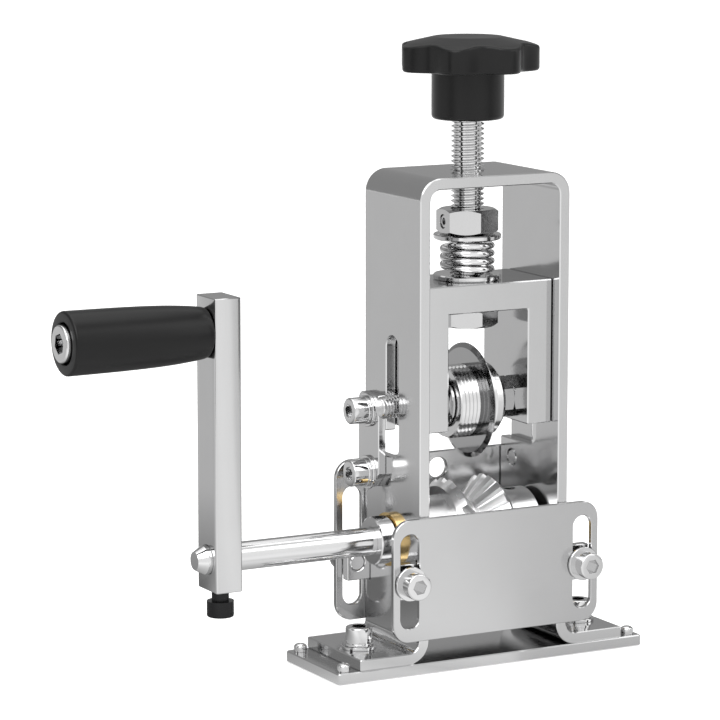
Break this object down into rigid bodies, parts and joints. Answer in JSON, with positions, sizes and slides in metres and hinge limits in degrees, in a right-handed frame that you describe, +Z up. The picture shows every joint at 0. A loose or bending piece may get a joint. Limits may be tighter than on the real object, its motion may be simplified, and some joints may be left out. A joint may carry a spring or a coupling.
{
  "type": "hand crank wire stripper",
  "caption": "Bench wire stripper: a hand crank turns toothed feed wheels under a spring-pressed cutting disc that a star knob raises and lowers in a bent steel frame.",
  "frame": {"origin": "centre of the base plate's underside, on the bench", "axes": "+X right along the crank shaft away from the handle, +Y to the rear, +Z up; the blade axle, shaft and adjuster rod all lie in the plane Y = 0"},
  "size_m": [0.2184, 0.0586, 0.2208],
  "materials": {
    "polished_steel": "polished steel with faint grinding marks",
    "bright_steel": "bright turned steel",
    "fastener_steel": "bright stainless fasteners",
    "tool_steel": "hardened ground steel with a bright edge",
    "spring_steel": "bright drawn wire",
    "black_screw_steel": "blackened steel",
    "brass_bush": "plain turned brass",
    "black_plastic": "black moulded plastic, satin"
  },
  "bodies": {
    "frame_body": {"base_plate": "polished_steel", "base_screws": "fastener_steel", "frame": "polished_steel", "foot_screws": "fastener_steel", "foot_washers": "fastener_steel", "foot_spring_washers": "fastener_steel", "plate_lugs": "polished_steel", "guide_screws": "fastener_steel", "guide_washers": "fastener_steel", "left_keeper_plate": "polished_steel", "right_keeper_plate": "polished_steel", "keeper_screws": "fastener_steel", "keeper_washers": "fastener_steel", "keeper_spring_washers": "fastener_steel", "left_bush": "brass_bush", "right_bush": "brass_bush"},
    "front_plate_body": {"front_guide_plate": "polished_steel"},
    "rear_plate_body": {"rear_guide_plate": "polished_steel"},
    "crank_body": {"crank_shaft": "bright_steel", "crank_arm": "polished_steel", "arm_clamp_screw": "black_screw_steel", "handle_bolt": "fastener_steel", "left_feed_wheel": "bright_steel", "right_feed_wheel": "bright_steel", "feed_wheel_set_screws": "black_screw_steel", "shaft_collar": "bright_steel", "collar_set_screw": "black_screw_steel"},
    "grip_body": {"handle_grip": "black_plastic"},
    "lift_body": {"upper_washer": "bright_steel", "spring": "spring_steel"},
    "knob_body": {"adjuster_knob": "black_plastic", "adjuster_rod": "bright_steel", "stop_nut": "fastener_steel", "stop_nut_set_screw": "black_screw_steel", "rod_end_nut": "fastener_steel"},
    "slider_body": {"lower_washer": "bright_steel", "slider_block": "polished_steel", "blade_axle": "bright_steel", "axle_nuts": "fastener_steel", "axle_washer": "fastener_steel"},
    "blade_body": {"cutting_disc": "tool_steel", "left_sleeve": "bright_steel", "right_sleeve": "bright_steel"}
  },
  "joints": [
    {"name": "crank_turn", "type": "hinge", "parent": "frame_body", "child": "crank_body", "pos_m": [0, 0, 0.045], "axis": [1, 0, 0], "continuous": true},
    {"name": "handle_spin", "type": "hinge", "parent": "crank_body", "child": "grip_body", "pos_m": [-0.128, 0, 0.1238], "axis": [1, 0, 0], "continuous": true},
    {"name": "lift", "type": "slide", "parent": "frame_body", "child": "lift_body", "axis": [0, 0, 1], "range_m": [-0.013, 0.009]},
    {"name": "knob_turn", "type": "hinge", "parent": "lift_body", "child": "knob_body", "pos_m": [0, 0, 0.2], "axis": [0, 0, 1], "range_deg": [-2675, 1852]},
    {"name": "spring_compress", "type": "slide", "parent": "lift_body", "child": "slider_body", "axis": [0, 0, 1], "range_m": [0, 0.0016], "stiffness_N_per_m": 4000, "springref_m": -0.003, "deforming": ["spring"]},
    {"name": "blade_spin", "type": "hinge", "parent": "slider_body", "child": "blade_body", "pos_m": [0, 0, 0.0922], "axis": [1, 0, 0], "continuous": true},
    {"name": "front_plate_slide", "type": "slide", "parent": "frame_body", "child": "front_plate_body", "axis": [0, 0, 1], "range_m": [-0.012, 0.012]},
    {"name": "rear_plate_slide", "type": "slide", "parent": "frame_body", "child": "rear_plate_body", "axis": [0, 0, 1], "range_m": [-0.0115, 0.0115]}
  ],
  "couplings": [
    {"joint": "knob_turn", "follows": "lift", "rad_per_m": 3590.4}
  ]
}
